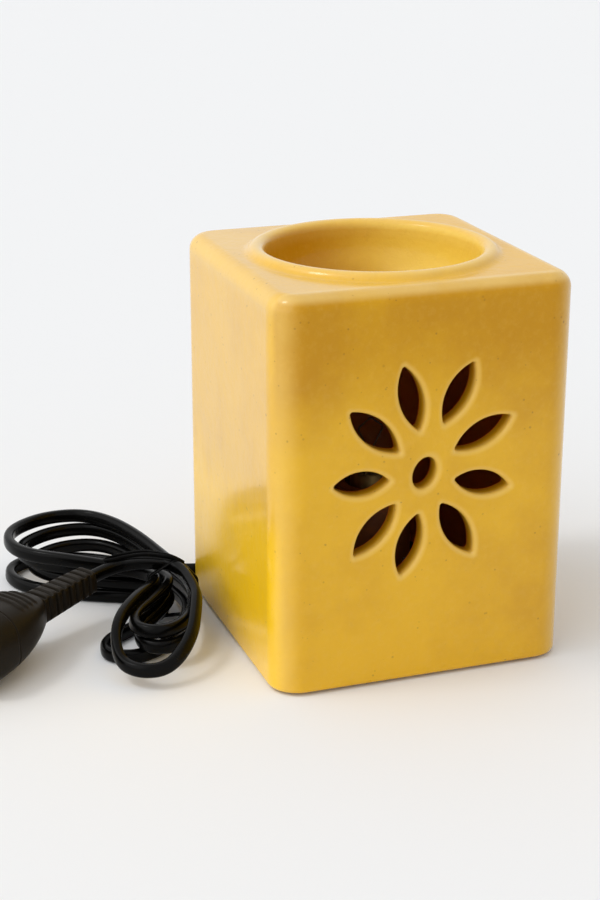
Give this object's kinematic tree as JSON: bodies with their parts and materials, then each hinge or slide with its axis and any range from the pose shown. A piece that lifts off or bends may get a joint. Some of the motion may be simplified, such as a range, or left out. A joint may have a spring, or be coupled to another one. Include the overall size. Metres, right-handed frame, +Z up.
{
  "type": "electric wax melt warmer",
  "caption": "Square glazed ceramic wax melt warmer: a round melt dish in the top, a petal flower cut through the front, and a small lamp on a base inside, with cord and plug.",
  "frame": {"origin": "middle of the underside of the body, on the surface that it stands on", "axes": "+Z up, +X to the right along the front face, -Y out of the front face with the flower"},
  "size_m": [0.2179, 0.1412, 0.1324],
  "materials": {
    "amber_glaze": "glossy",
    "clear_pad": "matte",
    "black_plastic": "satin",
    "holder_plastic": "satin",
    "black_rubber": "matte",
    "black_pvc": "satin",
    "tie_plastic": "satin",
    "zinc_steel": "satin",
    "spring_steel": "satin",
    "white_porcelain": "satin",
    "brass": "satin",
    "brown_core": "satin",
    "blue_core": "satin",
    "clear_glass": "glossy",
    "black_glass": "glossy",
    "nickel": "polished",
    "solder": "satin",
    "tungsten": "satin"
  },
  "bodies": {
    "lamp_base": {"base_shell": "black_plastic", "base_cover": "black_plastic", "cover_screws": "zinc_steel", "rubber_feet": "black_rubber", "retaining_springs": "spring_steel", "spring_rivets": "zinc_steel", "cord_bush": "black_pvc", "holder_nipple": "zinc_steel", "nipple_nut": "zinc_steel", "holder_base": "holder_plastic", "holder_insert": "white_porcelain", "terminal_blocks": "brass", "terminal_screws": "zinc_steel", "holder_skirt": "holder_plastic", "screw_shell": "brass", "centre_contact": "brass", "live_core": "brown_core", "neutral_core": "blue_core", "cord_lead": "black_pvc", "cord_hank": "black_pvc", "cord_tail": "black_pvc", "cord_tie": "tie_plastic", "plug_relief": "black_pvc", "plug_body": "black_pvc", "plug_pins": "nickel"},
    "body": {"ceramic_body": "amber_glaze", "body_pads": "clear_pad"},
    "lamp_foot": {"lamp_insulator": "black_glass", "lamp_end_contact": "solder"},
    "lamp": {"lamp_glass": "clear_glass", "lamp_cap": "nickel", "lamp_stem": "clear_glass", "lamp_filament": "tungsten"}
  },
  "joints": [
    {"name": "body_lift", "type": "slide", "parent": "lamp_base", "child": "body", "axis": [0, 0, 1], "range_m": [0, 0.095]},
    {"name": "lamp_rise", "type": "slide", "parent": "lamp_base", "child": "lamp_foot", "axis": [0, 0, 1], "range_m": [0, 0.01]},
    {"name": "lamp_turn", "type": "hinge", "parent": "lamp_foot", "child": "lamp", "pos_m": [0, 0, 0.045], "axis": [0, 0, 1], "range_deg": [0, 1260]}
  ],
  "couplings": [
    {"joint": "lamp_rise", "follows": "lamp_turn", "m_per_rad": 0.000449}
  ]
}
